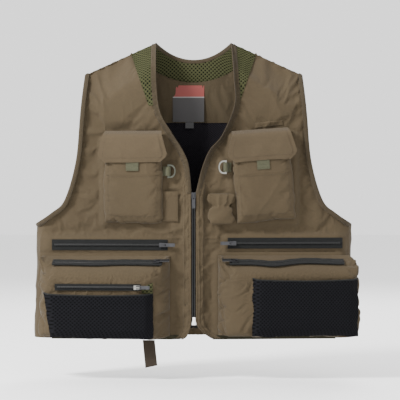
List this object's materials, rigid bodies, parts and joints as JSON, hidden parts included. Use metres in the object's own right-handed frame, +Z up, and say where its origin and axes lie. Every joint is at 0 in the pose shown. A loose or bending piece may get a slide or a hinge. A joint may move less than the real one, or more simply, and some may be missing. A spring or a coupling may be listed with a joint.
{
  "type": "fishing vest",
  "caption": "Sleeveless zip-front fishing vest with mesh collar, flapped chest pockets, zipped cargo pockets with mesh fronts, D-rings and a hem strap.",
  "frame": {"origin": "outer face of the mesh collar at the centre of the back neck edge", "axes": "+Z up as worn, +X towards the wearer's left across the chest, -Y out of the front"},
  "size_m": [0.6146, 0.1352, 0.6013],
  "materials": {
    "shell_fabric": "matte brushed nylon weave",
    "green_mesh": "open knit mesh",
    "black_mesh": "open knit mesh",
    "facing": "matte lining weave",
    "binding": "ribbed tape",
    "webbing": "ribbed webbing",
    "zip_tape": "woven tape with nylon coil",
    "zip_metal": "dark plated",
    "ring_metal": "polished steel",
    "box_metal": "bright satin",
    "label": "woven satin",
    "label_tab": "woven satin",
    "hook_loop": "hook and loop pile"
  },
  "bodies": {
    "root": {"back_panel": "shell_fabric", "collar_mesh": "green_mesh", "neck_binding": "binding", "yoke_facing": "facing", "back_lining_mesh": "black_mesh", "neck_label": "label", "size_tab": "label_tab", "shoulder_panel_right": "shell_fabric", "side_gore_right": "shell_fabric", "armhole_binding_right": "binding", "shoulder_panel_left": "shell_fabric", "side_gore_left": "shell_fabric", "armhole_binding_left": "binding"},
    "front_right": {"front_panel_right": "shell_fabric", "neck_edge_binding_right": "binding", "shoulder_mesh_right": "green_mesh", "chest_pouch_right": "shell_fabric", "flap_loop_tape_right": "hook_loop", "d_ring_tab_right": "webbing", "upper_right_zip": "zip_tape", "cargo_pocket_right": "shell_fabric", "cargo_right_zip": "zip_tape", "mesh_pocket_right": "black_mesh", "front_zip_right": "zip_tape", "slip_pocket_right": "shell_fabric", "mesh_right_zip": "zip_tape"},
    "flap_right": {"chest_flap_right": "shell_fabric", "flap_hook_tape_right": "hook_loop", "flap_tab_right": "webbing"},
    "ring_right": {"d_ring_right": "ring_metal"},
    "front_left": {"front_panel_left": "shell_fabric", "neck_edge_binding_left": "binding", "shoulder_mesh_left": "green_mesh", "chest_pouch_left": "shell_fabric", "flap_loop_tape_left": "hook_loop", "d_ring_tab_left": "webbing", "upper_left_zip": "zip_tape", "cargo_pocket_left": "shell_fabric", "cargo_left_zip": "zip_tape", "mesh_pocket_left": "black_mesh", "front_zip_left": "zip_tape", "front_zip_box": "box_metal", "tool_holder_left": "shell_fabric"},
    "flap_left": {"chest_flap_left": "shell_fabric", "flap_hook_tape_left": "hook_loop", "flap_tab_left": "webbing"},
    "ring_left": {"d_ring_left": "ring_metal"},
    "front_slider": {"front_slider": "zip_metal"},
    "front_pull": {"front_pull": "zip_metal"},
    "upper_right_slider": {"upper_right_slider": "zip_metal"},
    "upper_right_pull": {"upper_right_pull": "zip_metal"},
    "upper_left_slider": {"upper_left_slider": "zip_metal"},
    "upper_left_pull": {"upper_left_pull": "zip_metal"},
    "cargo_right_slider": {"cargo_right_slider": "zip_metal"},
    "cargo_right_pull": {"cargo_right_pull": "zip_metal"},
    "cargo_left_slider": {"cargo_left_slider": "zip_metal"},
    "cargo_left_pull": {"cargo_left_pull": "zip_metal"},
    "mesh_right_slider": {"mesh_right_slider": "zip_metal"},
    "mesh_right_pull": {"mesh_right_pull": "zip_metal"},
    "hem_strap": {"hem_strap": "binding"}
  },
  "joints": [
    {"name": "open_left", "type": "hinge", "parent": "root", "child": "front_left", "pos_m": [0.185, -0.07756, -0.165], "axis": [-0.5167, -0.0452, 0.855], "range_deg": [0, 33]},
    {"name": "open_right", "type": "hinge", "parent": "root", "child": "front_right", "pos_m": [-0.185, -0.07756, -0.165], "axis": [-0.5167, 0.0452, -0.855], "range_deg": [0, 33]},
    {"name": "front_zip", "type": "slide", "parent": "front_left", "child": "front_slider", "axis": [0, 0, -1], "range_m": [0, 0.22]},
    {"name": "front_pull_swing", "type": "hinge", "parent": "front_slider", "child": "front_pull", "pos_m": [0.0026, -0.09575, -0.2585], "axis": [-1, 0, 0], "range_deg": [0, 170]},
    {"name": "upper_right_zip", "type": "slide", "parent": "front_right", "child": "upper_right_slider", "axis": [-0.9962, 0.0872, 0], "range_m": [0, 0.196]},
    {"name": "upper_right_pull_swing", "type": "hinge", "parent": "upper_right_slider", "child": "upper_right_pull", "pos_m": [-0.05853, -0.095, -0.3507], "axis": [0, 0, -1], "range_deg": [0, 170]},
    {"name": "upper_left_zip", "type": "slide", "parent": "front_left", "child": "upper_left_slider", "axis": [0.9962, 0.0872, 0], "range_m": [0, 0.194]},
    {"name": "upper_left_pull_swing", "type": "hinge", "parent": "upper_left_slider", "child": "upper_left_pull", "pos_m": [0.07407, -0.09364, -0.3475], "axis": [0, 0, 1], "range_deg": [0, 170]},
    {"name": "cargo_right_zip", "type": "slide", "parent": "front_right", "child": "cargo_right_slider", "axis": [-0.9962, 0.0872, 0], "range_m": [0, 0.184]},
    {"name": "cargo_right_pull_swing", "type": "hinge", "parent": "cargo_right_slider", "child": "cargo_right_pull", "pos_m": [-0.0688, -0.11142, -0.37884], "axis": [-0.0708, -0.8091, -0.5834], "range_deg": [0, 170]},
    {"name": "cargo_left_zip", "type": "slide", "parent": "front_left", "child": "cargo_left_slider", "axis": [0.9962, 0.0872, 0], "range_m": [0, 0.193]},
    {"name": "cargo_left_pull_swing", "type": "hinge", "parent": "cargo_left_slider", "child": "cargo_left_pull", "pos_m": [0.07677, -0.11073, -0.37784], "axis": [-0.0708, 0.8091, 0.5834], "range_deg": [0, 170]},
    {"name": "mesh_right_zip", "type": "slide", "parent": "front_right", "child": "mesh_right_slider", "axis": [-0.9962, 0.0872, 0], "range_m": [0, 0.142]},
    {"name": "mesh_right_pull_swing", "type": "hinge", "parent": "mesh_right_slider", "child": "mesh_right_pull", "pos_m": [-0.10448, -0.12913, -0.428], "axis": [0, 0, -1], "range_deg": [0, 170]},
    {"name": "flap_lift_right", "type": "hinge", "parent": "front_right", "child": "flap_right", "pos_m": [-0.11224, -0.08584, -0.139], "axis": [-0.9962, 0.0872, 0], "range_deg": [0, 80]},
    {"name": "ring_swing_right", "type": "hinge", "parent": "front_right", "child": "ring_right", "pos_m": [-0.04689, -0.09507, -0.2135], "axis": [0, 0, -1], "range_deg": [0, 95]},
    {"name": "flap_lift_left", "type": "hinge", "parent": "front_left", "child": "flap_left", "pos_m": [0.1232, -0.08488, -0.136], "axis": [-0.9934, -0.0869, -0.075], "range_deg": [0, 80]},
    {"name": "ring_swing_left", "type": "hinge", "parent": "front_left", "child": "ring_left", "pos_m": [0.05994, -0.09393, -0.206], "axis": [0, 0, 1], "range_deg": [0, 95]},
    {"name": "strap_swing", "type": "hinge", "parent": "front_right", "child": "hem_strap", "pos_m": [-0.08343, -0.08926, -0.527], "axis": [0.9962, -0.0872, 0], "range_deg": [-60, 60]}
  ]
}
